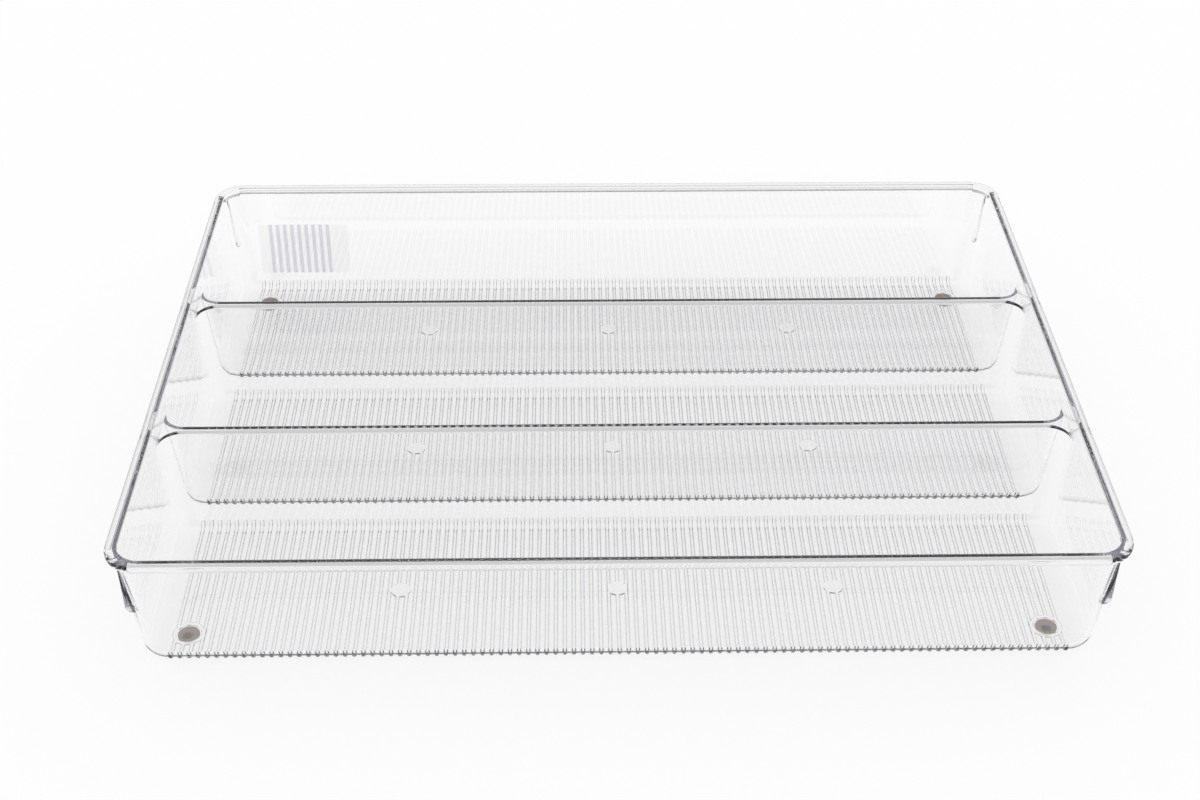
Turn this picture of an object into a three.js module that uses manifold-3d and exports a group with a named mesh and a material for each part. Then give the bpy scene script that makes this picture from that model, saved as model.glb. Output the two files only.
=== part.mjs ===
// Clear moulded drawer organizer for cutlery.
// One moulded tray holds three long tubs, joined by a flanged rim and by two hollow dividers,
// and it stands on four stick-on feet.
// Millimetres, +Z up. X runs along the tubs, and Y from the front tub to the rear one.

import * as THREE from 'three';
import { mergeGeometries, mergeVertices } from 'three/addons/utils/BufferGeometryUtils.js';
import Module from 'manifold-3d';

// Tubs, measured on the outside at the floor, where the walls would meet it without a fillet
const tubCount = 3;
const tubLength = 344.4;
const tubWidth = 75;
const tubCorner = 10;
const floorFillet = 5;
const wall = 1.8;
const floorThickness = 2;
const trayDepth = 51.6;

// How far the outer walls lean out from the floor to the rim
const endLean = 3.8;
const sideLean = 4.3;

// Rim flange, with a groove below each straight run that leaves a plate on top and a skirt outside
const flangeWidth = 2.7;
const flangeThickness = 4;
const flangePlate = 1.9;
const flangeSkirt = 1.9;
const flangeEdge = 1.9;
const grooveStop = 10;
const rimEdge = 2;

// Hollow dividers: the gap between two tubs at the floor, and the top that closes it
const dividerGap = 12.8;
const dividerTop = 4.4;
const dividerDrop = 7.9;
const dividerEdge = 1.4;

// Ribs under the floors
const ribPitch = 3.3;
const ribWidth = 1.7;
const ribHeight = 0.7;
const ribMargin = 10.3;
const ribSink = 0.4;

// Round gate pads along the middle of each tub, as deep as the ribs
const padDiameter = 7.4;
const padPitchShare = 0.237;
const padsPerTub = 3;

// Denest lugs at the corners, which keep stacked trays from jamming and taper into the end walls
const lugLength = 24.2;
const lugThickness = 0.9;
const lugDepth = 5;
const lugDraw = 5;
const lugSetback = 0.7;
const lugShy = 1.6;
const lugNose = 2.5;

// Stick-on feet and the locating rings round them
const footDiameter = 8;
const footHeight = 2.2;
const footInset = 14.8;
const footSeat = 0.3;
const ringDiameter = 11.7;
const ringWall = 1.3;

// One overrun serves every cut and every join, and no corner in plan is tighter than this
const overrun = 0.5;
const tightestCorner = 0.4;

// Facets
const cornerSteps = 4;
const roundSteps = 24;
const padSteps = 12;
const filletShares = [0, 0.6, 1];
const edgeShares = [0, 0.5, 1];
const ribCrestShare = 0.5;
const footCrownShares = [[0.62, 0], [0.9, 0.22], [1, 0.55], [1, 1]];

// Places worked out from the sizes above
const quarterTurn = Math.PI / 2;
const tubPitch = tubWidth + dividerGap;
const spanWidth = tubCount * tubWidth + (tubCount - 1) * dividerGap;
const endSlope = endLean / trayDepth;
const sideSlope = sideLean / trayDepth;
const dividerHeight = trayDepth - dividerDrop;
const dividerSlope = ((dividerGap - dividerTop) / 2 + wall) / dividerHeight;
const floorUnderside = footHeight + footSeat;
const footX = tubLength / 2 - footInset;
const footY = spanWidth / 2 - footInset;

const manifoldLibrary = await Module();
manifoldLibrary.setup();

// Boolean helpers
function toSolid(geometry) {
  const bare = geometry.clone();
  bare.deleteAttribute('normal');
  bare.deleteAttribute('uv');
  const welded = mergeVertices(bare);
  return new manifoldLibrary.Manifold(new manifoldLibrary.Mesh({
    numProp: 3,
    vertProperties: new Float32Array(welded.attributes.position.array),
    triVerts: new Uint32Array(welded.index.array),
  }));
}

function toGeometry(solid) {
  const mesh = solid.getMesh();
  const geometry = new THREE.BufferGeometry();
  geometry.setAttribute('position', new THREE.BufferAttribute(mesh.vertProperties, mesh.numProp));
  geometry.setIndex(new THREE.BufferAttribute(mesh.triVerts, 1));
  const faceted = geometry.toNonIndexed();
  faceted.computeVertexNormals();
  return faceted;
}

// Closed skin over rings of points that all have the same count, with a flat fan on each end
function loft(rings) {
  const count = rings[0].length;
  const positions = rings.flat().flatMap((point) => point.toArray());
  const faces = [];
  for (let level = 0; level < rings.length - 1; level += 1) {
    for (let step = 0; step < count; step += 1) {
      const here = level * count + step;
      const next = level * count + (step + 1) % count;
      faces.push(here, next, next + count, here, next + count, here + count);
    }
  }
  const last = (rings.length - 1) * count;
  for (let step = 1; step < count - 1; step += 1) {
    faces.push(0, step + 1, step);
    faces.push(last, last + step, last + step + 1);
  }
  const geometry = new THREE.BufferGeometry();
  geometry.setAttribute('position', new THREE.Float32BufferAttribute(positions, 3));
  geometry.setIndex(faces);
  return geometry;
}

// Rounded rectangle at one height, as an anticlockwise ring
function roundedRing({ halfLength, front, rear, frontCorner, rearCorner, height }) {
  const corners = [
    { x: halfLength, y: rear, radius: rearCorner, start: 0 },
    { x: -halfLength, y: rear, radius: rearCorner, start: quarterTurn },
    { x: -halfLength, y: front, radius: frontCorner, start: 2 * quarterTurn },
    { x: halfLength, y: front, radius: frontCorner, start: 3 * quarterTurn },
  ];
  return corners.flatMap(({ x, y, radius, start }) => {
    const centreX = x - Math.sign(x) * radius;
    const centreY = y === rear ? y - radius : y + radius;
    return Array.from({ length: cornerSteps + 1 }, (_, step) => {
      const angle = start + quarterTurn * (step / cornerSteps);
      return new THREE.Vector3(
        centreX + radius * Math.cos(angle), centreY + radius * Math.sin(angle), height,
      );
    });
  });
}

// How far a fillet's tangent point lies inside the foot of a wall that leans by this slope
function filletRun(radius, slope) {
  return radius * Math.tan((quarterTurn - Math.atan(slope)) / 2);
}

// How far a leaning face stands outside its own foot at this height, with its fillet
function faceOffset(height, slope, radius) {
  const filletTop = radius * (1 - Math.sin(Math.atan(slope)));
  if (height >= filletTop) return height * slope;
  const angle = Math.acos(1 - height / radius);
  return radius * Math.sin(angle) - filletRun(radius, slope);
}

// Heights that the fillet's facets pass through
function filletHeights(radius) {
  return filletShares.map((share) => radius * (1 - Math.cos(share * quarterTurn)));
}

// How far a rounded top edge draws back at this height below its crest
function edgeDraw(height, crest, radius) {
  const rise = Math.min(Math.max(height - (crest - radius), 0), radius);
  return radius - Math.sqrt(radius * radius - rise * rise);
}

function edgeHeights(crest, radius) {
  return edgeShares.map((share) => crest - radius + radius * Math.sin(share * quarterTurn));
}

// The foot line and the slope of a tub's front and rear walls
function tubSides(index) {
  const front = index * tubPitch - spanWidth / 2;
  return {
    front,
    rear: front + tubWidth,
    frontSlope: index === 0 ? sideSlope : dividerSlope,
    rearSlope: index === tubCount - 1 ? sideSlope : dividerSlope,
  };
}

// Corner radius: the same all the way up the walls, and tighter where the fillet draws in below
function cornerRadius(height, fillet) {
  return Math.max(tubCorner + Math.min(faceOffset(height, endSlope, fillet), 0), tightestCorner);
}

function tubOuterRing(index, height) {
  const { front, rear, frontSlope, rearSlope } = tubSides(index);
  return roundedRing({
    halfLength: tubLength / 2 + faceOffset(height, endSlope, floorFillet),
    front: front - faceOffset(height, frontSlope, floorFillet),
    rear: rear + faceOffset(height, rearSlope, floorFillet),
    frontCorner: cornerRadius(height, floorFillet),
    rearCorner: cornerRadius(height, floorFillet),
    height: floorUnderside + height,
  });
}

// Inside face of a wall: parallel to the outside one, with the smaller fillet that keeps the wall even
function insideOffset(height, slope) {
  const fillet = floorFillet - wall;
  const rise = Math.max(height - floorThickness, 0);
  return floorThickness * slope - wall + faceOffset(rise, slope, fillet);
}

function tubInnerRing(index, height, level = height) {
  const { front, rear, frontSlope, rearSlope } = tubSides(index);
  const flare = edgeDraw(height, dividerHeight, dividerEdge);
  const frontFlare = frontSlope === dividerSlope ? flare : 0;
  const rearFlare = rearSlope === dividerSlope ? flare : 0;
  const rise = Math.max(height - floorThickness, 0);
  const corner = Math.max(cornerRadius(rise, floorFillet - wall) - wall, tightestCorner);
  return roundedRing({
    halfLength: tubLength / 2 + insideOffset(height, endSlope),
    front: front - insideOffset(height, frontSlope) - frontFlare,
    rear: rear + insideOffset(height, rearSlope) + rearFlare,
    frontCorner: corner,
    rearCorner: corner,
    height: floorUnderside + level,
  });
}

// Ring round the whole tray at this height, grown or shrunk by a margin
function wholeRing(height, margin, level = height) {
  const halfWidth = spanWidth / 2 + height * sideSlope + margin;
  const corner = Math.max(tubCorner + margin, tightestCorner);
  return roundedRing({
    halfLength: tubLength / 2 + height * endSlope + margin,
    front: -halfWidth,
    rear: halfWidth,
    frontCorner: corner,
    rearCorner: corner,
    height: floorUnderside + level,
  });
}

// The outside of one tub, up into the collar that joins the tubs
function tubBlank(index) {
  const heights = [...filletHeights(floorFillet), dividerHeight - wall + overrun];
  return toSolid(loft(heights.map((height) => tubOuterRing(index, height))));
}

// The inside of one tub, past the tops of the dividers
function tubHollow(index) {
  const fillet = floorFillet - wall;
  const heights = [
    ...filletHeights(fillet).map((height) => floorThickness + height),
    ...edgeHeights(dividerHeight, dividerEdge),
  ];
  const rings = heights.map((height) => tubInnerRing(index, height));
  rings.push(tubInnerRing(index, dividerHeight, dividerHeight + overrun));
  return toSolid(loft(rings));
}

// The band of wall above the dividers, solid across, whose underside closes the dividers' hollows.
// Its foot is drawn in a little, so that it seats inside the tub blanks.
function collarBlank() {
  const foot = dividerHeight - wall;
  const seat = overrun / 2;
  return toSolid(loft([wholeRing(foot, -seat), wholeRing(foot + seat, 0), wholeRing(trayDepth, 0)]));
}

// The one hollow above the dividers, with the rounded inner edge of the rim
function collarHollow() {
  const heights = [dividerHeight, ...edgeHeights(trayDepth, rimEdge)];
  const rings = heights.map((height) => wholeRing(height, edgeDraw(height, trayDepth, rimEdge) - wall));
  rings.push(wholeRing(trayDepth, rimEdge - wall, trayDepth + overrun));
  return toSolid(loft(rings));
}

// Box between two opposite corners, given in any order
function block(from, to) {
  const size = new THREE.Vector3().subVectors(to, from);
  const geometry = new THREE.BoxGeometry(Math.abs(size.x), Math.abs(size.y), Math.abs(size.z));
  geometry.translate((from.x + to.x) / 2, (from.y + to.y) / 2, (from.z + to.z) / 2);
  return toSolid(geometry);
}

// The grooves that hollow the flange from below along its four straight runs
function flangeGrooves() {
  const endReach = tubLength / 2 + endLean + flangeWidth;
  const sideReach = spanWidth / 2 + sideLean + flangeWidth;
  const bottom = floorUnderside + trayDepth - flangeThickness - overrun;
  const top = floorUnderside + trayDepth - flangePlate;
  const endRun = endReach - grooveStop;
  const sideRun = sideReach - grooveStop;
  return [-1, 1].flatMap((side) => [
    block(
      new THREE.Vector3(-endRun, side * spanWidth / 2, bottom),
      new THREE.Vector3(endRun, side * (sideReach - flangeSkirt), top),
    ),
    block(
      new THREE.Vector3(side * tubLength / 2, -sideRun, bottom),
      new THREE.Vector3(side * (endReach - flangeSkirt), sideRun, top),
    ),
  ]);
}

// The flange round the rim, with its outer edge rounded above and below
function flangeBlank() {
  const underside = trayDepth - flangeThickness;
  const edgeRing = (inward, height) => wholeRing(trayDepth, flangeWidth - inward, height);
  const angles = edgeShares.map((share) => share * quarterTurn);
  const lowerRings = angles.map((angle) => edgeRing(
    flangeEdge * (1 - Math.sin(angle)), underside + flangeEdge * (1 - Math.cos(angle)),
  ));
  const upperRings = angles.map((angle) => edgeRing(
    flangeEdge * (1 - Math.cos(angle)), trayDepth - flangeEdge * (1 - Math.sin(angle)),
  ));
  const flange = toSolid(loft([...lowerRings, ...upperRings]));
  return flangeGrooves().reduce((body, groove) => body.subtract(groove), flange);
}

// One station of a rib: a section that stands on the tub's fillet at this angle from the floor
function ribSection(x, footLine, side, slope, angle, height) {
  const run = filletRun(floorFillet, slope);
  const outwardY = side * Math.sin(angle);
  const outwardZ = -Math.cos(angle);
  const y = footLine - side * run + floorFillet * outwardY;
  const z = floorUnderside + floorFillet * (1 + outwardZ);
  const place = (across, out) => new THREE.Vector3(x + across, y + outwardY * out, z + outwardZ * out);
  return [
    place(-ribWidth / 2, -ribSink),
    place(-ribWidth / 2 * ribCrestShare, height),
    place(ribWidth / 2 * ribCrestShare, height),
    place(ribWidth / 2, -ribSink),
  ];
}

// One rib: along the floor, then up the fillet at each end, where it dies into the wall
function ribGeometry(index, x) {
  const { front, rear, frontSlope, rearSlope } = tubSides(index);
  const [flatShare, bendShare] = filletShares;
  const wrap = [[flatShare * quarterTurn, ribHeight], [bendShare * quarterTurn, -ribSink / 2]];
  const frontRings = wrap.map(([angle, height]) => ribSection(x, front, -1, frontSlope, angle, height));
  const rearRings = wrap.map(([angle, height]) => ribSection(x, rear, 1, rearSlope, angle, height));
  return loft([...rearRings.reverse(), ...frontRings]);
}

// Every rib under every tub, evenly spaced about the middle of the tray
function ribs() {
  const gaps = Math.floor((tubLength - 2 * ribMargin) / ribPitch);
  const geometries = [];
  for (let index = 0; index < tubCount; index += 1) {
    for (let rib = 0; rib <= gaps; rib += 1) {
      geometries.push(ribGeometry(index, (rib - gaps / 2) * ribPitch));
    }
  }
  return toSolid(mergeGeometries(geometries));
}

// The four corners, as signs along X and Y
function corners() {
  return [
    { name: 'front_left', sideX: -1, sideY: -1 },
    { name: 'front_right', sideX: 1, sideY: -1 },
    { name: 'rear_left', sideX: -1, sideY: 1 },
    { name: 'rear_right', sideX: 1, sideY: 1 },
  ];
}

// Upright cylinder between two heights
function post(x, y, diameter, bottom, top, steps) {
  const geometry = new THREE.CylinderGeometry(diameter / 2, diameter / 2, top - bottom, steps);
  geometry.rotateX(quarterTurn);
  geometry.translate(x, y, (bottom + top) / 2);
  return toSolid(geometry);
}

function footCylinder({ sideX, sideY }, diameter, bottom, top) {
  return post(sideX * footX, sideY * footY, diameter, bottom, top, roundSteps);
}

// Gate pads under one tub
function gatePads(index) {
  const y = (index - (tubCount - 1) / 2) * tubPitch;
  return Array.from({ length: padsPerTub }, (_, pad) => {
    const x = (pad - (padsPerTub - 1) / 2) * padPitchShare * tubLength;
    return post(x, y, padDiameter, floorUnderside - ribHeight, floorUnderside + ribSink, padSteps);
  });
}

// Locating ring: as deep as the ribs, with the bare floor inside it
function ringBlank(corner) {
  return footCylinder(corner, ringDiameter, floorUnderside - ribHeight, floorUnderside + ribSink)
    .subtract(footCylinder(
      corner, ringDiameter - 2 * ringWall, floorUnderside - ribHeight - overrun, floorUnderside,
    ));
}

// Side view of a denest lug with its free edge drawn in by a given width
function lugProfile(sideX, y, drawn) {
  const outer = tubLength / 2 + endLean - lugShy - drawn;
  const inner = tubLength / 2 - tubCorner - lugDraw;
  const top = floorUnderside + trayDepth - flangeThickness / 2;
  const bottom = floorUnderside + trayDepth - flangeThickness - lugLength;
  const nose = Array.from({ length: cornerSteps + 1 }, (_, step) => {
    const angle = quarterTurn * (step / cornerSteps);
    return [outer - lugNose * (1 - Math.sin(angle)), bottom + lugNose * (1 - Math.cos(angle))];
  });
  const outline = [[inner, top], [inner, bottom], ...nose, [outer, top]];
  return outline.map(([x, z]) => new THREE.Vector3(sideX * x, y, z));
}

// Denest lug: flat toward the front or the rear, plumb at its free edge, and tapered into the end wall
function lugBlank({ sideX, sideY }) {
  const face = spanWidth / 2 - lugSetback;
  const stations = [[0, 0], [lugThickness, 0], [lugThickness + lugDepth, lugDraw]];
  const rings = stations.map(([inward, drawn]) => lugProfile(sideX, sideY * (face - inward), drawn));
  return toSolid(loft(sideX * sideY > 0 ? rings : rings.reverse()));
}

// The whole moulding
function tray() {
  let ribbing = ribs();
  let body = collarBlank().add(flangeBlank());
  for (let index = 0; index < tubCount; index += 1) {
    body = body.add(tubBlank(index));
  }
  for (const corner of corners()) {
    ribbing = ribbing.subtract(footCylinder(
      corner, ringDiameter, floorUnderside - ribHeight - overrun, floorUnderside + floorFillet,
    ));
    body = body.add(lugBlank(corner));
  }
  body = body.add(ribbing);
  for (const corner of corners()) {
    body = body.add(ringBlank(corner));
  }
  for (let index = 0; index < tubCount; index += 1) {
    body = gatePads(index).reduce((joined, pad) => joined.add(pad), body);
  }
  for (let index = 0; index < tubCount; index += 1) {
    body = body.subtract(tubHollow(index));
  }
  return toGeometry(body.subtract(collarHollow()));
}

// Domed stick-on foot with its flat sticky face up
function footGeometry() {
  const radius = footDiameter / 2;
  const profile = [
    new THREE.Vector2(0, 0),
    ...footCrownShares.map(([out, up]) => new THREE.Vector2(radius * out, footHeight * up)),
    new THREE.Vector2(0, footHeight),
  ];
  const geometry = new THREE.LatheGeometry(profile, roundSteps);
  geometry.rotateX(quarterTurn);
  return toGeometry(toSolid(geometry));
}

function piece(name, geometry, material) {
  const mesh = new THREE.Mesh(geometry, material);
  mesh.name = name;
  return mesh;
}

const clearPlastic = () => new THREE.MeshStandardMaterial({
  name: 'clear_plastic', color: 0xe9e8ee, roughness: 0.06, metalness: 0,
});
const footRubber = () => new THREE.MeshStandardMaterial({
  name: 'soft_polyurethane', color: 0x8c8380, roughness: 0.45, metalness: 0,
});

const organizer = new THREE.Group();
organizer.name = 'cutlery_organizer';
organizer.add(piece('tray', tray(), clearPlastic()));
for (const { name, sideX, sideY } of corners()) {
  const foot = piece(`foot_${name}`, footGeometry(), footRubber());
  foot.position.set(sideX * footX, sideY * footY, 0);
  organizer.add(foot);
}

export default organizer;
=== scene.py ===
"""Looks, light and camera for a clear moulded drawer organizer for cutlery.

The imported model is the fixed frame: metres, +Z up, X along the tubs, Y from the front tub to the
rear one. The sizes in the classes below are in millimetres and become metres where a mesh is made.
"""

import logging
import math
from dataclasses import dataclass, field
from enum import Enum
from typing import Any, Iterable, Sequence

import bpy
import numpy as np
from mathutils import Matrix


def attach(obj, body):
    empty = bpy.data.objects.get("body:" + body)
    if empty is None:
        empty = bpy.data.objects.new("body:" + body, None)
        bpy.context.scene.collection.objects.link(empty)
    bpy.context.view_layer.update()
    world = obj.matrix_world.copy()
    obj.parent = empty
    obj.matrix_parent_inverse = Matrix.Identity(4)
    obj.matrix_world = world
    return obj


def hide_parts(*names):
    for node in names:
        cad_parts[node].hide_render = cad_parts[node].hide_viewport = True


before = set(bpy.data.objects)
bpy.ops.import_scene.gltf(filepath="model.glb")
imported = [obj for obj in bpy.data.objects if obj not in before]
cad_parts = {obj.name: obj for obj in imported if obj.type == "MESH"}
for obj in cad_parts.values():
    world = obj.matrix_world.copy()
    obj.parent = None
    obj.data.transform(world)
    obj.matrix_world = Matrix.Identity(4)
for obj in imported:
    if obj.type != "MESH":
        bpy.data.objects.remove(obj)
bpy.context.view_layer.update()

MM = 0.001
QUARTER = math.pi / 2
# Points closer than a thousandth of a millimetre become one
WELD_REACH = 0.001 * MM
log = logging.getLogger("organizer")

# A closed line of points, one row each, in millimetres
Ring = np.ndarray


class Corner(Enum):
    """The four corners of the tray, as signs along X and Y."""

    FRONT_LEFT = (-1, -1)
    FRONT_RIGHT = (1, -1)
    REAR_LEFT = (-1, 1)
    REAR_RIGHT = (1, 1)

    @property
    def tag(self) -> str:
        """The corner's name as it ends a node's name."""
        return self.name.lower()


class Join(Enum):
    """How one solid meets another."""

    ADD = "UNION"
    CUT = "DIFFERENCE"


def linear(colour: str) -> tuple[float, float, float, float]:
    """Turns an sRGB hex colour into linear light, by the constants of the sRGB standard.

    Args:
        colour: six hex digits with a leading hash sign.

    Returns:
        Red, green, blue and an alpha of 1, in linear light.
    """
    shares = [int(colour[start:start + 2], 16) / 255 for start in (1, 3, 5)]
    lit = [share / 12.92 if share <= 0.04045 else ((share + 0.055) / 1.055) ** 2.4 for share in shares]
    return (*lit, 1.0)


def add_node(tree: bpy.types.NodeTree, kind: str, settings: dict[str, Any] | None = None,
             sockets: dict[Any, Any] | None = None) -> bpy.types.Node:
    """Adds a node with its settings, and fills or links its inputs.

    Args:
        tree: the node tree that takes the node.
        kind: the node's class name, such as "ShaderNodeMath".
        settings: the node's own properties.
        sockets: a value, or the output to link, for each input's name or number.

    Returns:
        The new node.
    """
    node = tree.nodes.new(kind)
    for name, value in (settings or {}).items():
        setattr(node, name, value)
    for key, value in (sockets or {}).items():
        if isinstance(value, bpy.types.NodeSocket):
            tree.links.new(value, node.inputs[key])
        else:
            node.inputs[key].default_value = value
    return node


def new_material(name: str) -> tuple[bpy.types.Material, bpy.types.NodeTree, bpy.types.Node]:
    """Makes an empty node material.

    Args:
        name: the material's name.

    Returns:
        The material, its node tree and its output node.
    """
    material = bpy.data.materials.new(name)
    material.use_nodes = True
    material.node_tree.nodes.clear()
    output = add_node(material.node_tree, "ShaderNodeOutputMaterial")
    return material, material.node_tree, output


@dataclass
class Solid:
    """Closed faces in millimetres, gathered before they become one object."""

    points: list[Ring] = field(default_factory=list)
    faces: list[tuple[int, ...]] = field(default_factory=list)
    count: int = 0

    def loft(self, rings: Sequence[Ring]) -> None:
        """Adds a closed skin over rings of equal count, with a flat face on each end.

        Args:
            rings: from the lowest up, each anticlockwise seen from above.
        """
        step = len(rings[0])
        base = self.count
        for level in range(len(rings) - 1):
            low = base + level * step
            for here in range(step):
                after = (here + 1) % step
                self.faces.append((low + here, low + after, low + step + after, low + step + here))
        last = base + (len(rings) - 1) * step
        self.faces.append(tuple(range(base + step - 1, base - 1, -1)))
        self.faces.append(tuple(range(last, last + step)))
        self.points.extend(rings)
        self.count += step * len(rings)

    def block(self, low: tuple[float, float, float], high: tuple[float, float, float]) -> None:
        """Adds a box.

        Args:
            low: its corner with the least X, Y and Z.
            high: the opposite corner.
        """
        corners = ((low[0], low[1]), (high[0], low[1]), (high[0], high[1]), (low[0], high[1]))
        self.loft([np.array([(x, y, z) for x, y in corners]) for z in (low[2], high[2])])

    def spin(self, profile: Sequence[tuple[float, float]], centre: tuple[float, float], steps: int) -> None:
        """Adds a closed profile turned about an upright line, as a ring with a hole.

        Args:
            profile: radius and height of each point, anticlockwise with the line on the left.
            centre: where the line stands in X and Y.
            steps: how many sections make the round.
        """
        step = len(profile)
        base = self.count
        for turn in range(steps):
            angle = 2 * math.pi * turn / steps
            self.points.append(np.array([
                (centre[0] + radius * math.cos(angle), centre[1] + radius * math.sin(angle), height)
                for radius, height in profile
            ]))
            low, high = base + turn * step, base + (turn + 1) % steps * step
            for here in range(step):
                after = (here + 1) % step
                self.faces.append((low + here, high + here, high + after, low + after))
        self.count += step * steps

    def to_object(self, name: str) -> bpy.types.Object:
        """Turns the faces into a linked object, in metres.

        Args:
            name: of the object and its mesh.

        Returns:
            The object.
        """
        mesh = bpy.data.meshes.new(name)
        mesh.from_pydata((np.vstack(self.points) * MM).tolist(), [], self.faces)
        thing = bpy.data.objects.new(name, mesh)
        bpy.context.scene.collection.objects.link(thing)
        return thing


@dataclass
class Moulding:
    """A solid that grows by joins and cuts, kept as one object."""

    body: bpy.types.Object
    tools: list[bpy.types.Object] = field(default_factory=list)

    def take(self, tool: bpy.types.Object, join: Join) -> None:
        """Queues one join or cut.

        Args:
            tool: the solid that is joined or cut away, which settle removes.
            join: which of the two.
        """
        modifier = self.body.modifiers.new(join.name, "BOOLEAN")
        modifier.operation = join.value
        modifier.solver = "MANIFOLD"
        modifier.object = tool
        self.tools.append(tool)

    def settle(self) -> bpy.types.Object:
        """Works out every queued join and cut, and clears the tools away.

        Points that all but touch are welded, so that no face is a sliver without area.

        Returns:
            The finished object.
        """
        weld = self.body.modifiers.new("weld", "WELD")
        weld.merge_threshold = WELD_REACH
        settle_modifiers(self.body)
        for tool in self.tools:
            bpy.data.objects.remove(tool)
        self.tools.clear()
        return self.body


def settle_modifiers(thing: bpy.types.Object) -> None:
    """Applies every modifier of an object to its mesh.

    Args:
        thing: the object.
    """
    depsgraph = bpy.context.evaluated_depsgraph_get()
    mesh = bpy.data.meshes.new_from_object(thing.evaluated_get(depsgraph))
    thing.modifiers.clear()
    thing.data = mesh


def smooth(thing: bpy.types.Object, limit: float) -> None:
    """Shades an object smooth up to an edge angle, with flat faces kept flat by their area.

    Args:
        thing: the object, whose mesh changes.
        limit: the steepest edge that still looks round, in degrees.
    """
    mesh = thing.data
    mesh.polygons.foreach_set("use_smooth", [True] * len(mesh.polygons))
    mesh.set_sharp_from_angle(angle=math.radians(limit))
    modifier = thing.modifiers.new("weighted", "WEIGHTED_NORMAL")
    modifier.keep_sharp = True
    settle_modifiers(thing)


def seat(piece: bpy.types.Object, slot: str, material: bpy.types.Material, *nodes: str) -> None:
    """Puts a piece in its place in the frame.

    Args:
        piece: the finished piece.
        slot: the record's material slot that it stands for; not used.
        material: its finish.
        nodes: the CAD nodes that it replaces.
    """
    piece.data.materials.clear()
    piece.data.materials.append(material)
    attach(piece, "root")
    if nodes:
        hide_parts(*nodes)


@dataclass(frozen=True)
class Wall:
    """One side of a tub: a face that leans out from its foot line, over a rounded foot."""

    slope: float

    @property
    def lean(self) -> float:
        """The wall's angle from plumb."""
        return math.atan(self.slope)

    def run(self, radius: float) -> float:
        """How far the round's tangent point lies inside the foot line."""
        return radius * math.tan((QUARTER - self.lean) / 2)

    def offset(self, height: float, radius: float) -> float:
        """How far the face stands outside its foot line at a height.

        Args:
            height: above the foot.
            radius: of the round at the foot.

        Returns:
            The distance, below 0 inside the foot line.
        """
        if height >= radius * (1 - math.sin(self.lean)):
            return height * self.slope
        return radius * math.sin(math.acos(1 - height / radius)) - self.run(radius)


def rounded_ring(half_length: float, sides: tuple[float, float], radius: float, height: float,
                 steps: int = 12) -> Ring:
    """Rounded rectangle at one height, anticlockwise.

    Args:
        half_length: its reach along X, either way.
        sides: its front and rear lines along Y.
        radius: of its corners.
        height: its level.
        steps: segments in each corner.

    Returns:
        The points, one row each.
    """
    points = []
    for turn, (sign_x, side) in enumerate(((1, 1), (-1, 1), (-1, 0), (1, 0))):
        centre_x = sign_x * (half_length - radius)
        centre_y = sides[side] + (-radius if side else radius)
        for step in range(steps + 1):
            angle = QUARTER * (turn + step / steps)
            points.append((centre_x + radius * math.cos(angle), centre_y + radius * math.sin(angle), height))
    return np.array(points)


def edge_draw(height: float, crest: float, radius: float) -> float:
    """How far a rounded top edge draws back at a height.

    Args:
        height: where it is asked for.
        crest: the height of the top.
        radius: of the round.

    Returns:
        The distance, 0 below the round and the radius at the crest.
    """
    rise = min(max(height - (crest - radius), 0), radius)
    return radius - math.sqrt(radius * radius - rise * rise)


def edge_levels(crest: float, radius: float, steps: int) -> list[float]:
    """Heights that a rounded top edge's facets pass through.

    Args:
        crest: the height of the top.
        radius: of the round.
        steps: facets in the round.

    Returns:
        The heights, lowest first.
    """
    return [crest - radius + radius * math.sin(QUARTER * step / steps) for step in range(steps + 1)]


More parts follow.
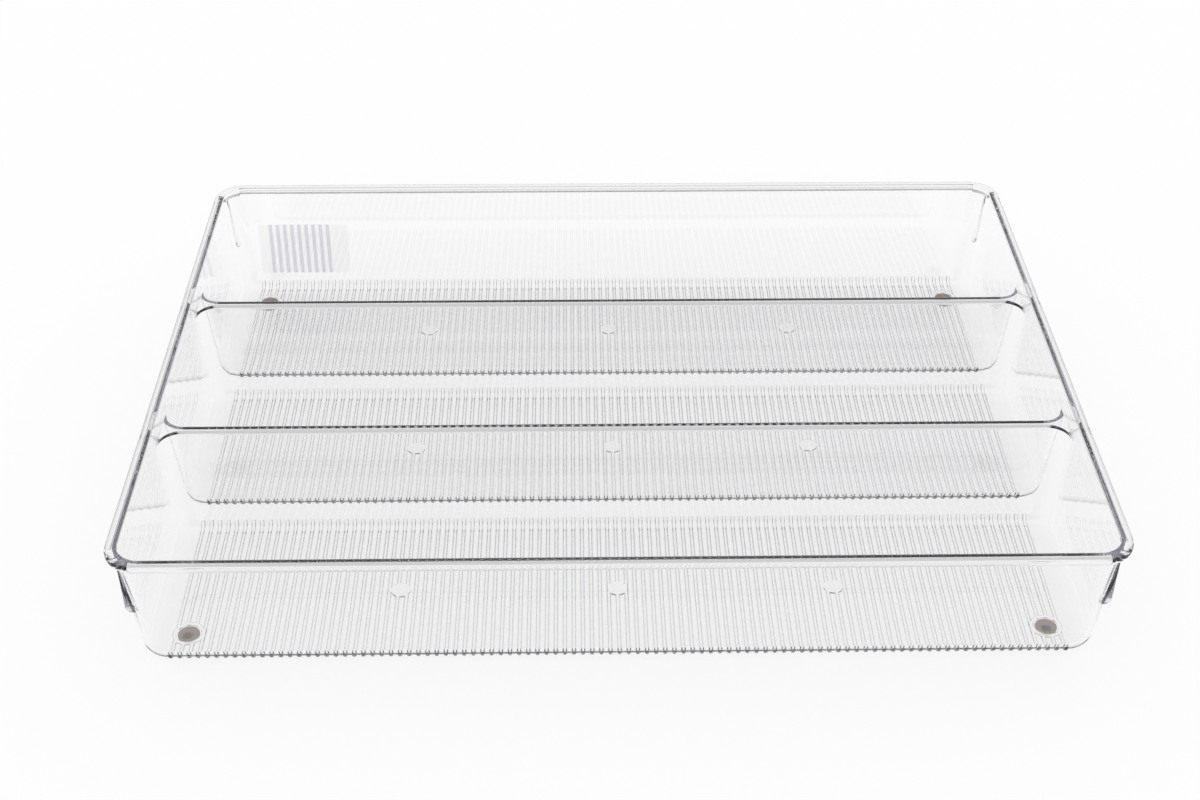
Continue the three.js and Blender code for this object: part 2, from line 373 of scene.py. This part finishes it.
@dataclass(frozen=True)
class Tray:
    """The one clear moulding: three tubs, a flanged rim, hollow dividers, ribs, lugs and foot rings.

    Heights run from the floors' underside. The field of that name is its height above the table.
    """

    tub_count: int = 3
    tub_length: float = 344.4
    tub_width: float = 75
    tub_corner: float = 10
    floor_fillet: float = 5
    wall: float = 1.8
    floor: float = 2
    depth: float = 51.6
    end_lean: float = 3.8
    side_lean: float = 4.3
    flange_width: float = 2.7
    flange_thickness: float = 4
    flange_plate: float = 1.9
    flange_skirt: float = 1.9
    # From the flange's outer line to the ends of the grooves below it
    groove_stop: float = 10
    flange_edge: float = 1.9
    # The rim's inner edge: full along the front, where it shows as the dark line, and slim elsewhere
    rim_edge: float = 2.0
    slim_edge: float = 0.3
    divider_gap: float = 12.8
    divider_top: float = 4.4
    divider_drop: float = 7.9
    divider_edge: float = 1.4
    rib_pitch: float = 3.3
    rib_width: float = 1.7
    rib_height: float = 0.7
    rib_margin: float = 10.3
    rib_sink: float = 0.4
    # The power of the ribs' section: 2 is half an ellipse, and more is squarer
    rib_fullness: float = 2.3
    lug_length: float = 24.2
    lug_thickness: float = 0.9
    # The lugs' tapered backs: how deep they run, and how far they draw in over that depth
    lug_depth: float = 5
    lug_draw: float = 5
    # How far the lugs' faces stand inside the front and rear foot lines, and their outer edges inside the
    # end walls' tops
    lug_setback: float = 0.7
    lug_shy: float = 1.6
    lug_nose: float = 2.5
    lug_edge: float = 0.25
    underside: float = 2.5
    foot_inset: float = 14.8
    ring_diameter: float = 11.7
    ring_wall: float = 1.3
    pad_diameter: float = 7.4
    # The outer pads' distance from the middle one, as a share of the tub's length
    pad_share: float = 0.237
    # How far a solid that joins or cuts runs past its end
    overrun: float = 0.5
    tightest: float = 0.4
    fillet_steps: int = 10
    edge_steps: int = 5
    rib_steps: int = 10
    rib_stations: int = 8
    round_steps: int = 48
    # Edges up to this many degrees are shaded round
    shade_limit: float = 32

    @property
    def pitch(self) -> float:
        """From one tub to the next."""
        return self.tub_width + self.divider_gap

    @property
    def span(self) -> float:
        """All the tubs across, at their foot lines."""
        return self.tub_count * self.tub_width + (self.tub_count - 1) * self.divider_gap

    @property
    def end(self) -> Wall:
        """The walls at the left and right ends."""
        return Wall(self.end_lean / self.depth)

    @property
    def side(self) -> Wall:
        """The front and rear walls of the tray."""
        return Wall(self.side_lean / self.depth)

    @property
    def divider_height(self) -> float:
        """The dividers' tops above the floors' underside."""
        return self.depth - self.divider_drop

    @property
    def flank(self) -> Wall:
        """The walls of the dividers."""
        return Wall(((self.divider_gap - self.divider_top) / 2 + self.wall) / self.divider_height)

    def foot_place(self, corner: Corner) -> tuple[float, float]:
        """Where a foot stands in X and Y."""
        sign_x, sign_y = corner.value
        return sign_x * (self.tub_length / 2 - self.foot_inset), sign_y * (self.span / 2 - self.foot_inset)

    def tub_sides(self, index: int) -> tuple[float, float, Wall, Wall]:
        """The lines that a tub stands between.

        Args:
            index: which tub, from the front.

        Returns:
            Its front and rear foot lines, and the walls that stand on them.
        """
        front = index * self.pitch - self.span / 2
        return (
            front, front + self.tub_width,
            self.side if index == 0 else self.flank,
            self.side if index == self.tub_count - 1 else self.flank,
        )

    def corner_radius(self, height: float, radius: float) -> float:
        """A corner's radius in plan: even all the way up, and tighter where the fillet draws in."""
        return max(self.tub_corner + min(self.end.offset(height, radius), 0), self.tightest)

    def outer_ring(self, index: int, height: float) -> Ring:
        """The outside of a tub.

        Args:
            index: which tub, from the front.
            height: of the ring.

        Returns:
            The ring.
        """
        front, rear, front_wall, rear_wall = self.tub_sides(index)
        radius = self.floor_fillet
        return rounded_ring(
            self.tub_length / 2 + self.end.offset(height, radius),
            (front - front_wall.offset(height, radius), rear + rear_wall.offset(height, radius)),
            self.corner_radius(height, radius),
            self.underside + height,
        )

    def inset(self, height: float, wall: Wall) -> float:
        """How far a wall's inside face stands outside its foot line at a height."""
        rise = max(height - self.floor, 0)
        return self.floor * wall.slope - self.wall + wall.offset(rise, self.floor_fillet - self.wall)

    def inner_ring(self, index: int, height: float, level: float | None = None) -> Ring:
        """The inside of a tub at a height.

        Args:
            index: which tub, from the front.
            height: which the walls' lean goes by.
            level: where the line is drawn, if not at the height.

        Returns:
            The ring.
        """
        front, rear, front_wall, rear_wall = self.tub_sides(index)
        flare = edge_draw(height, self.divider_height, self.divider_edge)
        rise = max(height - self.floor, 0)
        radius = self.floor_fillet - self.wall
        return rounded_ring(
            self.tub_length / 2 + self.inset(height, self.end),
            (
                front - self.inset(height, front_wall) - (flare if front_wall == self.flank else 0),
                rear + self.inset(height, rear_wall) + (flare if rear_wall == self.flank else 0),
            ),
            max(self.corner_radius(rise, radius) - self.wall, self.tightest),
            self.underside + (height if level is None else level),
        )

    def whole_ring(self, height: float, margin: float, level: float | None = None,
                   slim_margin: float | None = None) -> Ring:
        """The line round the whole tray at a height.

        Args:
            height: which the walls' lean goes by.
            margin: how far the line stands outside the walls.
            level: where it is drawn, if not at the height.
            slim_margin: the margin at the end walls and the rear wall, if it differs.

        Returns:
            The ring.
        """
        half_width = self.span / 2 + height * self.side.slope
        slim = margin if slim_margin is None else slim_margin
        corner = max(self.tub_corner + margin, self.tightest)
        return rounded_ring(
            self.tub_length / 2 + height * self.end.slope + slim, (-half_width - margin, half_width + slim),
            corner, self.underside + (height if level is None else level),
        )

    def fillet_levels(self, radius: float) -> list[float]:
        """Heights that a fillet's facets pass through."""
        steps = self.fillet_steps
        return [radius * (1 - math.cos(QUARTER * step / steps)) for step in range(steps + 1)]

    def tubs(self) -> bpy.types.Object:
        """Builds the outsides of the tubs, up into the collar.

        Returns:
            One object with all of them.
        """
        solid = Solid()
        levels = [*self.fillet_levels(self.floor_fillet), self.divider_height - self.wall + self.overrun]
        for index in range(self.tub_count):
            solid.loft([self.outer_ring(index, level) for level in levels])
        return solid.to_object("tubs")

    def hollows(self) -> bpy.types.Object:
        """Builds the insides of the tubs, past the dividers' tops.

        Returns:
            One object with all of them.
        """
        solid = Solid()
        levels = [self.floor + level for level in self.fillet_levels(self.floor_fillet - self.wall)]
        levels += edge_levels(self.divider_height, self.divider_edge, self.edge_steps)
        for index in range(self.tub_count):
            rings = [self.inner_ring(index, level) for level in levels]
            rings.append(self.inner_ring(index, self.divider_height, self.divider_height + self.overrun))
            solid.loft(rings)
        return solid.to_object("hollows")

    def collar(self) -> bpy.types.Object:
        """Builds the band above the dividers, solid across.

        Returns:
            The band, drawn in at its foot to seat in the tubs.
        """
        solid = Solid()
        foot, seated = self.divider_height - self.wall, self.overrun / 2
        stations = [(foot, -seated), (foot + seated, 0), (self.depth, 0)]
        solid.loft([self.whole_ring(level, margin) for level, margin in stations])
        return solid.to_object("tray_moulding")

    def collar_hollow(self) -> bpy.types.Object:
        """Builds the one hollow above the dividers, with the rim's rounded inner edge.

        Returns:
            The hollow.
        """
        solid = Solid()
        levels = {
            self.divider_height,
            *edge_levels(self.depth, self.rim_edge, self.edge_steps),
            *edge_levels(self.depth, self.slim_edge, self.edge_steps),
        }
        rings = [
            self.whole_ring(
                level, edge_draw(level, self.depth, self.rim_edge) - self.wall,
                slim_margin=edge_draw(level, self.depth, self.slim_edge) - self.wall,
            )
            for level in sorted(levels)
        ]
        rings.append(self.whole_ring(
            self.depth, self.rim_edge - self.wall, self.depth + self.overrun, self.slim_edge - self.wall,
        ))
        solid.loft(rings)
        return solid.to_object("collar_hollow")

    def flange(self) -> bpy.types.Object:
        """Builds the flange round the rim, with a rounded outer edge.

        Returns:
            The flange, hollow below along each straight run.
        """
        angles = [QUARTER * step / self.edge_steps for step in range(self.edge_steps + 1)]
        low, edge = self.depth - self.flange_thickness, self.flange_edge
        stations = [(edge * (1 - math.sin(angle)), low + edge * (1 - math.cos(angle))) for angle in angles]
        stations += [
            (edge * (1 - math.cos(angle)), self.depth - edge * (1 - math.sin(angle))) for angle in angles
        ]
        solid = Solid()
        solid.loft([
            self.whole_ring(self.depth, self.flange_width - inward, level) for inward, level in stations
        ])
        reach_x = self.tub_length / 2 + self.end_lean + self.flange_width
        reach_y = self.span / 2 + self.side_lean + self.flange_width
        run_x, run_y = reach_x - self.groove_stop, reach_y - self.groove_stop
        bottom, top = self.underside + low - self.overrun, self.underside + self.depth - self.flange_plate
        grooves = Solid()
        for sign in (-1, 1):
            inside, outside = sorted((sign * self.span / 2, sign * (reach_y - self.flange_skirt)))
            grooves.block((-run_x, inside, bottom), (run_x, outside, top))
            inside, outside = sorted((sign * self.tub_length / 2, sign * (reach_x - self.flange_skirt)))
            grooves.block((inside, -run_y, bottom), (outside, run_y, top))
        flange = Moulding(solid.to_object("flange"))
        flange.take(grooves.to_object("grooves"), Join.CUT)
        return flange.settle()

    def rib_section(self, place: float, foot_line: float, side: int, wall: Wall, angle: float,
                    height: float) -> Ring:
        """One station of a rib, standing on a tub's fillet.

        Args:
            place: the rib's middle along X.
            foot_line: where the wall meets the floor, along Y.
            side: 1 at a tub's rear wall and -1 at its front one.
            wall: that wall.
            angle: how far up the fillet the station stands, from the floor.
            height: of the rib at the station.

        Returns:
            The section's points.
        """
        out_y, out_z = side * math.sin(angle), -math.cos(angle)
        base_y = foot_line - side * wall.run(self.floor_fillet) + self.floor_fillet * out_y
        base_z = self.underside + self.floor_fillet * (1 + out_z)
        points = []
        for step in range(self.rib_steps + 1):
            turn = 2 * QUARTER * step / self.rib_steps
            power = 2 / self.rib_fullness
            across = -self.rib_width / 2 * math.copysign(abs(math.cos(turn)) ** power, math.cos(turn))
            out = -self.rib_sink + (height + self.rib_sink) * abs(math.sin(turn)) ** power
            points.append((place + across, base_y + out_y * out, base_z + out_z * out))
        return np.array(points)

    def ribs(self) -> bpy.types.Object:
        """Builds every rib: along the floor and up the fillets, where it dies into the walls.

        Returns:
            One object with the ribs of all the tubs.
        """
        solid = Solid()
        gaps = int((self.tub_length - 2 * self.rib_margin) / self.rib_pitch)
        shares = [step / self.rib_stations for step in range(self.rib_stations + 1)]
        for index in range(self.tub_count):
            front, rear, front_wall, rear_wall = self.tub_sides(index)
            for rib in range(gaps + 1):
                place = (rib - gaps / 2) * self.rib_pitch
                rings = []
                for side, line, wall in ((1, rear, rear_wall), (-1, front, front_wall)):
                    stations = [
                        self.rib_section(
                            place, line, side, wall, share * (QUARTER - wall.lean),
                            (self.rib_height + self.rib_sink / 2) * math.sqrt(1 - share * share)
                            - self.rib_sink / 2,
                        )
                        for share in shares
                    ]
                    rings += stations[::-1] if side > 0 else stations
                solid.loft(rings)
        return solid.to_object("ribs")

    def posts(self, diameter: float, bottom: float, top: float,
              places: Iterable[tuple[float, float]]) -> bpy.types.Object:
        """Upright cylinders between two levels.

        Args:
            diameter: of each.
            bottom: the lower level.
            top: the upper level.
            places: where they stand in X and Y.

        Returns:
            One object with all of them.
        """
        solid = Solid()
        angles = [2 * math.pi * step / self.round_steps for step in range(self.round_steps)]
        for x, y in places:
            solid.loft([
                np.array([
                    (x + diameter / 2 * math.cos(angle), y + diameter / 2 * math.sin(angle), level)
                    for angle in angles
                ])
                for level in (bottom, top)
            ])
        return solid.to_object("posts")

    def rings(self) -> bpy.types.Object:
        """Builds the locating rings for the feet.

        Returns:
            One object with all of them, as deep as the ribs and bevelled below.
        """
        outer, inner = self.ring_diameter / 2, self.ring_diameter / 2 - self.ring_wall
        low, high = self.underside - self.rib_height, self.underside + self.rib_sink
        edge = self.rib_sink / 2
        profile = [(inner, high), (inner, low + edge), (inner + edge, low), (outer - edge, low),
                   (outer, low + edge), (outer, high)]
        solid = Solid()
        for corner in Corner:
            solid.spin(profile, self.foot_place(corner), self.round_steps)
        return solid.to_object("rings")

    def pad_places(self) -> list[tuple[float, float]]:
        """Places the round gate pads.

        Returns:
            X and Y of each: three along the middle of each tub.
        """
        return [
            (along * self.pad_share * self.tub_length, (index - (self.tub_count - 1) / 2) * self.pitch)
            for index in range(self.tub_count) for along in (-1, 0, 1)
        ]

    def lugs(self) -> bpy.types.Object:
        """Builds the denest lugs: upright fins under the flange, with a rounded lower corner.

        Returns:
            One object with all four.
        """
        outer = self.tub_length / 2 + self.end_lean - self.lug_shy
        inner = self.tub_length / 2 - self.tub_corner
        top = self.underside + self.depth - self.flange_thickness / 2
        bottom = self.underside + self.depth - self.flange_thickness - self.lug_length
        solid = Solid()
        for corner in Corner:
            sign_x, sign_y = corner.value
            face = self.span / 2 - self.lug_setback
            edge, nose = self.lug_edge, self.lug_nose
            rings = []
            for inward, drawn in ((0, edge), (edge, 0), (self.lug_thickness, 0),
                                  (self.lug_thickness + self.lug_depth, self.lug_draw)):
                points = [(inner - self.lug_draw, top), (inner - self.lug_draw, bottom + min(drawn, edge))]
                points += [
                    (outer - drawn - nose + nose * math.sin(QUARTER * step / self.fillet_steps),
                     bottom + nose - (nose - min(drawn, edge)) * math.cos(QUARTER * step / self.fillet_steps))
                    for step in range(self.fillet_steps + 1)
                ]
                points.append((outer - drawn, top))
                rings.append(np.array([(sign_x * x, sign_y * (face - inward), z) for x, z in points]))
            if sign_x * sign_y < 0:
                rings.reverse()
            solid.loft(rings)
        return solid.to_object("lugs")

    def build(self) -> bpy.types.Object:
        """Joins the whole moulding.

        The ribs stop inside the walls of the foot rings, and the insides are cut out last.

        Returns:
            The tray.
        """
        foot_places = [self.foot_place(corner) for corner in Corner]
        ribbing = Moulding(self.ribs())
        below = self.underside - self.rib_height - self.overrun
        ribbing.take(
            self.posts(
                self.ring_diameter - self.ring_wall, below, self.underside + self.floor_fillet, foot_places,
            ),
            Join.CUT,
        )
        body = Moulding(self.collar())
        body.take(self.flange(), Join.ADD)
        body.take(self.tubs(), Join.ADD)
        body.take(self.lugs(), Join.ADD)
        body.take(ribbing.settle(), Join.ADD)
        body.take(self.rings(), Join.ADD)
        pads = self.posts(
            self.pad_diameter, self.underside - self.rib_height, self.underside + self.rib_sink,
            self.pad_places(),
        )
        body.take(pads, Join.ADD)
        body.take(self.hollows(), Join.CUT)
        body.take(self.collar_hollow(), Join.CUT)
        tray = body.settle()
        smooth(tray, self.shade_limit)
        return tray

    def dress(self, tray: bpy.types.Object) -> None:
        """Gives the moulding its finish and its place."""
        seat(tray, "clear_plastic", ClearStyrene().material(), "tray")


@dataclass(frozen=True)
class ClearStyrene:
    """Clear styrene plastic from a polished mould.

    It looks colourless across a wall, and violet grey to nearly black where light is caught along
    it, as in the rim, the lugs and the ends of the ribs.
    """

    ior: float = 1.58
    roughness: float = 0.0
    tint: str = "#bcb6c8"
    # Absorption for each metre that light runs inside
    density: float = 14.0

    def material(self) -> bpy.types.Material:
        """Builds the shader: sharp refraction, with absorption along the path inside.

        Returns:
            The material.
        """
        material, tree, output = new_material("clear_moulded_styrene")
        shader = add_node(tree, "ShaderNodeBsdfPrincipled", sockets={
            "Base Color": (1, 1, 1, 1), "Transmission Weight": 1.0, "IOR": self.ior,
            "Roughness": self.roughness,
        })
        depth = add_node(tree, "ShaderNodeVolumeAbsorption", sockets={
            "Color": linear(self.tint), "Density": self.density,
        })
        tree.links.new(shader.outputs["BSDF"], output.inputs["Surface"])
        tree.links.new(depth.outputs["Volume"], output.inputs["Volume"])
        return material


@dataclass(frozen=True)
class SoftPolyurethane:
    """Cast soft polyurethane, grey brown and slightly cloudy.

    Its colour holds painted shade: a darker, uneven patch off its middle, toward the front left, which stands
    for the shaded side of the dome.
    The colour is paler toward the edge. The patch's places and sizes are shares of the foot's width.
    """

    edge: str = "#e6ccb4"
    # The colour of the painted shade at the patch's middle; the edge colour above is the paler colour toward
    # the rim
    painted_shade: str = "#4a372c"
    roughness: float = 0.4
    shade_middle: tuple[float, float, float] = (0.46, 0.38, 0.5)
    shade_core: float = 0.1
    shade_reach: float = 0.34
    unevenness: float = 0.3
    # Each blotch of the patch across, in millimetres
    blotch: float = 2.0
    blotch_detail: float = 3.0
    ior: float = 1.5

    def material(self, width: float) -> bpy.types.Material:
        """Builds the shader.

        Args:
            width: of the foot in millimetres, which the blotches' scale is worked out from.

        Returns:
            The material.
        """
        material, tree, output = new_material("cast_soft_polyurethane")
        place = add_node(tree, "ShaderNodeTexCoord")
        inward = add_node(tree, "ShaderNodeVectorMath", {"operation": "SUBTRACT"}, {
            0: place.outputs["Generated"], 1: self.shade_middle,
        })
        flat = add_node(tree, "ShaderNodeVectorMath", {"operation": "MULTIPLY"}, {
            0: inward.outputs["Vector"], 1: (1, 1, 0),
        })
        away = add_node(tree, "ShaderNodeVectorMath", {"operation": "LENGTH"}, {0: flat.outputs["Vector"]})
        cloud = add_node(tree, "ShaderNodeTexNoise", sockets={
            "Vector": place.outputs["Generated"], "Scale": width / self.blotch,
            "Detail": self.blotch_detail,
        })
        uneven = add_node(tree, "ShaderNodeMath", {"operation": "MULTIPLY_ADD"}, {
            0: cloud.outputs[0], 1: self.unevenness, 2: away.outputs["Value"],
        })
        # Painted shade: the colour darkens toward the patch's middle, made uneven by the noise
        share = add_node(tree, "ShaderNodeMapRange", {"interpolation_type": "SMOOTHSTEP"}, {
            "Value": uneven.outputs[0], "From Min": self.shade_core + self.unevenness / 2,
            "From Max": self.shade_reach + self.unevenness / 2,
        })
        colour = add_node(tree, "ShaderNodeMix", {"data_type": "RGBA"}, {
            0: share.outputs[0], 6: linear(self.painted_shade), 7: linear(self.edge),
        })
        shader = add_node(tree, "ShaderNodeBsdfPrincipled", sockets={
            "Base Color": colour.outputs[2], "Roughness": self.roughness, "IOR": self.ior,
        })
        tree.links.new(shader.outputs["BSDF"], output.inputs["Surface"])
        return material


@dataclass(frozen=True)
class PrintedFilm:
    """Clear self-adhesive film with plain pale blue bars printed on it.

    It looks like the bare wall with a faint veil, and the bars look washed out through it.
    """

    film: str = "#f4f4f8"
    ink: str = "#6f92ff"
    # How much the bare film and the ink hide of what lies behind them
    veil: float = 0.04
    cover: float = 0.17
    roughness: float = 0.3
    ior: float = 1.5
    # A bar's share of the way from one bar to the next
    bar_share: float = 0.5

    def material(self, start: float, end: float, bars: int) -> bpy.types.Material:
        """Builds the shader.

        Args:
            start: where the printing starts along X, in metres.
            end: where it ends.
            bars: how many bars it has.

        Returns:
            The material.
        """
        material, tree, output = new_material("printed_clear_film")
        last = bars - 1 + self.bar_share
        place = add_node(tree, "ShaderNodeTexCoord")
        parts = add_node(tree, "ShaderNodeSeparateXYZ", sockets={0: place.outputs["Object"]})
        along = add_node(tree, "ShaderNodeMapRange", {"clamp": False}, {
            "Value": parts.outputs[0], "From Min": start, "From Max": end,
            "To Min": 0.0, "To Max": last,
        })
        phase = add_node(tree, "ShaderNodeMath", {"operation": "FRACT"}, {0: along.outputs[0]})
        in_bar = add_node(tree, "ShaderNodeMath", {"operation": "LESS_THAN"}, {
            0: phase.outputs[0], 1: self.bar_share,
        })
        after = add_node(tree, "ShaderNodeMath", {"operation": "GREATER_THAN"}, {0: along.outputs[0], 1: 0.0})
        before = add_node(tree, "ShaderNodeMath", {"operation": "LESS_THAN"}, {0: along.outputs[0], 1: last})
        within = add_node(tree, "ShaderNodeMath", {"operation": "MULTIPLY"}, {
            0: after.outputs[0], 1: before.outputs[0],
        })
        inked = add_node(tree, "ShaderNodeMath", {"operation": "MULTIPLY"}, {
            0: in_bar.outputs[0], 1: within.outputs[0],
        })
        colour = add_node(tree, "ShaderNodeMix", {"data_type": "RGBA"}, {
            0: inked.outputs[0], 6: linear(self.film), 7: linear(self.ink),
        })
        strength = add_node(tree, "ShaderNodeMix", {"data_type": "FLOAT"}, {
            0: inked.outputs[0], 2: self.veil, 3: self.cover,
        })
        print_shader = add_node(tree, "ShaderNodeBsdfPrincipled", sockets={
            "Base Color": colour.outputs[2], "Roughness": self.roughness, "Alpha": strength.outputs[0],
            "IOR": self.ior,
        })
        tree.links.new(print_shader.outputs["BSDF"], output.inputs["Surface"])
        return material


@dataclass(frozen=True)
class RearLabel:
    """The film label on the outside of the rear wall, near its left end."""

    left: float = -162.0
    width: float = 41.5
    low: float = 7.9
    rise: float = 24.7
    gap: float = 0.05
    thickness: float = 0.1
    print_left: float = -157.0
    print_right: float = -129.0
    bars: int = 9
    corner: float = 1.0

    def build(self, form: Tray) -> bpy.types.Object:
        """Lays the film along the leaning wall.

        Args:
            form: the tray that carries it.

        Returns:
            The label.
        """
        solid = Solid()
        flat = rounded_ring(self.width / 2, (0, self.rise), self.corner, 0)
        rings = []
        for off in (self.gap, self.gap + self.thickness):
            rings.append(np.array([
                (self.left + self.width / 2 + x,
                 form.span / 2 + (self.low + up) * form.side.slope + off, form.underside + self.low + up)
                for x, up, _ in flat
            ]))
        solid.loft(rings[::-1])
        return solid.to_object("rear_label")

    def dress(self, label: bpy.types.Object) -> None:
        """Gives the film its printing and its place."""
        film = PrintedFilm().material(self.print_left * MM, self.print_right * MM, self.bars)
        seat(label, "clear_plastic", film)


@dataclass(frozen=True)
class BumperFoot:
    """A domed stick-on foot, with its sticky face up against the tray."""

    corner: Corner
    diameter: float = 8
    height: float = 2.2
    # Its flat face's share of the width, and the dome's share of the height
    flat_share: float = 0.62
    dome_share: float = 0.75
    steps: int = 48
    arc_steps: int = 10
    # Edges up to this many degrees are shaded round
    shade_limit: float = 40

    def build(self, place: tuple[float, float]) -> bpy.types.Object:
        """Turns the dome's profile.

        Args:
            place: where the foot stands in X and Y.

        Returns:
            The foot.
        """
        radius = self.diameter / 2
        profile = [
            (radius * (self.flat_share + (1 - self.flat_share) * math.sin(QUARTER * step / self.arc_steps)),
             self.height * self.dome_share * (1 - math.cos(QUARTER * step / self.arc_steps)))
            for step in range(self.arc_steps + 1)
        ]
        profile.append((radius, self.height))
        solid = Solid()
        solid.loft([
            np.array([
                (place[0] + out * math.cos(angle), place[1] + out * math.sin(angle), level)
                for angle in (2 * math.pi * step / self.steps for step in range(self.steps))
            ])
            for out, level in profile
        ])
        foot = solid.to_object(f"bumper_{self.corner.tag}")
        smooth(foot, self.shade_limit)
        return foot

    def dress(self, foot: bpy.types.Object, material: bpy.types.Material) -> None:
        """Gives the foot its finish and its place."""
        seat(foot, "soft_polyurethane", material, f"foot_{self.corner.tag}")


@dataclass(frozen=True)
class Studio:
    """A white table in plain soft light, and the camera in front of it.

    Lengths are in metres and angles in degrees, but for the lens and the sensor.
    """

    place: tuple[float, float, float] = (-0.01558, -0.59153, 0.45862)
    pitch: float = 36.1517
    yaw: float = 1.0009
    roll: float = 0.1855
    lens: float = 53.627
    sensor: float = 36
    near: float = 0.01
    table: float = 6
    table_white: float = 0.95
    # How much of the table is plain white where it is seen, straight or through the tray
    glow_share: float = 0.86
    # Mirrored and bent rays see a dim room toward this side, from its edge to its core, and grey elsewhere
    room_side: tuple[float, float, float] = (0, -1, 0.15)
    room_edge: float = 0.55
    room_core: float = 0.85
    room_level: float = 0.08
    sky_level: float = 0.66
    # The limit stands for the small losses of light that is caught inside the plastic
    bounces: int = 22
    matt_bounces: int = 3

    def camera(self) -> None:
        """Sets up the camera at the photograph's viewing angle."""
        data = bpy.data.cameras.new("camera")
        data.lens = self.lens
        data.sensor_width = self.sensor
        data.sensor_fit = "HORIZONTAL"
        data.clip_start = self.near
        camera = bpy.data.objects.new("camera", data)
        turn = (
            Matrix.Rotation(-math.radians(self.yaw), 4, "Z")
            @ Matrix.Rotation(QUARTER - math.radians(self.pitch), 4, "X")
            @ Matrix.Rotation(math.radians(self.roll), 4, "Z")
        )
        camera.matrix_world = Matrix.Translation(self.place) @ turn
        bpy.context.scene.collection.objects.link(camera)
        bpy.context.scene.camera = camera

    def floor(self) -> None:
        """Lays the white table, which shows plain white and keeps the shadow."""
        mesh = bpy.data.meshes.new("table")
        half = self.table / 2
        corners = [(-half, -half, 0), (half, -half, 0), (half, half, 0), (-half, half, 0)]
        mesh.from_pydata(corners, [], [(0, 1, 2, 3)])
        table = bpy.data.objects.new("table", mesh)
        bpy.context.scene.collection.objects.link(table)
        material, tree, output = new_material("white_table")
        white = self.table_white
        matt = add_node(tree, "ShaderNodeBsdfDiffuse", sockets={"Color": (white, white, white, 1)})
        glow = add_node(tree, "ShaderNodeEmission", sockets={"Color": (1, 1, 1, 1), "Strength": 1.0})
        path = add_node(tree, "ShaderNodeLightPath")
        seen = add_node(tree, "ShaderNodeMath", {"operation": "MAXIMUM"}, {
            0: path.outputs["Is Camera Ray"], 1: self.bent_rays(tree, path),
        })
        share = add_node(tree, "ShaderNodeMath", {"operation": "MULTIPLY"}, {
            0: seen.outputs[0], 1: self.glow_share,
        })
        mix = add_node(tree, "ShaderNodeMixShader", sockets={
            0: share.outputs[0], 1: matt.outputs[0], 2: glow.outputs[0],
        })
        tree.links.new(mix.outputs[0], output.inputs["Surface"])
        mesh.materials.append(material)

    @staticmethod
    def bent_rays(tree: bpy.types.NodeTree, path: bpy.types.Node) -> bpy.types.NodeSocket:
        """Adds the test for a ray that was mirrored, or went through the clear plastic.

        Args:
            tree: the node tree that takes the test.
            path: its light path node.

        Returns:
            The output that is 1 for such a ray.
        """
        either = add_node(tree, "ShaderNodeMath", {"operation": "MAXIMUM"}, {
            0: path.outputs["Is Glossy Ray"], 1: path.outputs["Is Transmission Ray"],
        })
        return either.outputs[0]

    def world(self) -> None:
        """Sets the plain soft light, and the dim room that edges and mirrors pick up."""
        world = bpy.data.worlds.new("studio")
        bpy.context.scene.world = world
        world.use_nodes = True
        tree = world.node_tree
        tree.nodes.clear()
        output = add_node(tree, "ShaderNodeOutputWorld")
        direction = add_node(tree, "ShaderNodeTexCoord")
        toward = add_node(tree, "ShaderNodeVectorMath", {"operation": "DOT_PRODUCT"}, {
            0: direction.outputs["Generated"], 1: self.room_side,
        })
        level = add_node(tree, "ShaderNodeMapRange", {"interpolation_type": "SMOOTHSTEP"}, {
            "Value": toward.outputs["Value"], "From Min": self.room_edge, "From Max": self.room_core,
            "To Min": self.sky_level, "To Max": self.room_level,
        })
        path = add_node(tree, "ShaderNodeLightPath")
        strength = add_node(tree, "ShaderNodeMix", {"data_type": "FLOAT"}, {
            0: self.bent_rays(tree, path), 2: 1.0, 3: level.outputs[0],
        })
        background = add_node(tree, "ShaderNodeBackground", sockets={
            "Color": (1, 1, 1, 1), "Strength": strength.outputs[0],
        })
        tree.links.new(background.outputs[0], output.inputs["Surface"])
        world.cycles.sampling_method = "NONE"

    def light_paths(self) -> None:
        """Lets light pass all the clear walls that stand one behind another."""
        settings = bpy.context.scene.cycles
        settings.max_bounces = self.bounces
        settings.transmission_bounces = self.bounces
        settings.glossy_bounces = self.bounces
        settings.diffuse_bounces = self.matt_bounces


def main() -> None:
    """Builds the camera, the pieces and the light in order, and reports each piece."""
    logging.basicConfig(level=logging.INFO, format="%(name)s: %(message)s")
    bpy.context.scene.view_settings.view_transform = "Standard"
    studio = Studio()
    studio.camera()
    form = Tray()
    tray = form.build()
    form.dress(tray)
    log.info("%s: %d faces", tray.name, len(tray.data.polygons))
    polyurethane = SoftPolyurethane().material(BumperFoot.diameter)
    for corner in Corner:
        bumper = BumperFoot(corner)
        foot = bumper.build(form.foot_place(corner))
        bumper.dress(foot, polyurethane)
        log.info("%s: %d faces", foot.name, len(foot.data.polygons))
    printed = RearLabel()
    label = printed.build(form)
    printed.dress(label)
    log.info("%s: %d faces", label.name, len(label.data.polygons))
    studio.floor()
    studio.world()
    studio.light_paths()


if __name__ == "__main__":
    main()
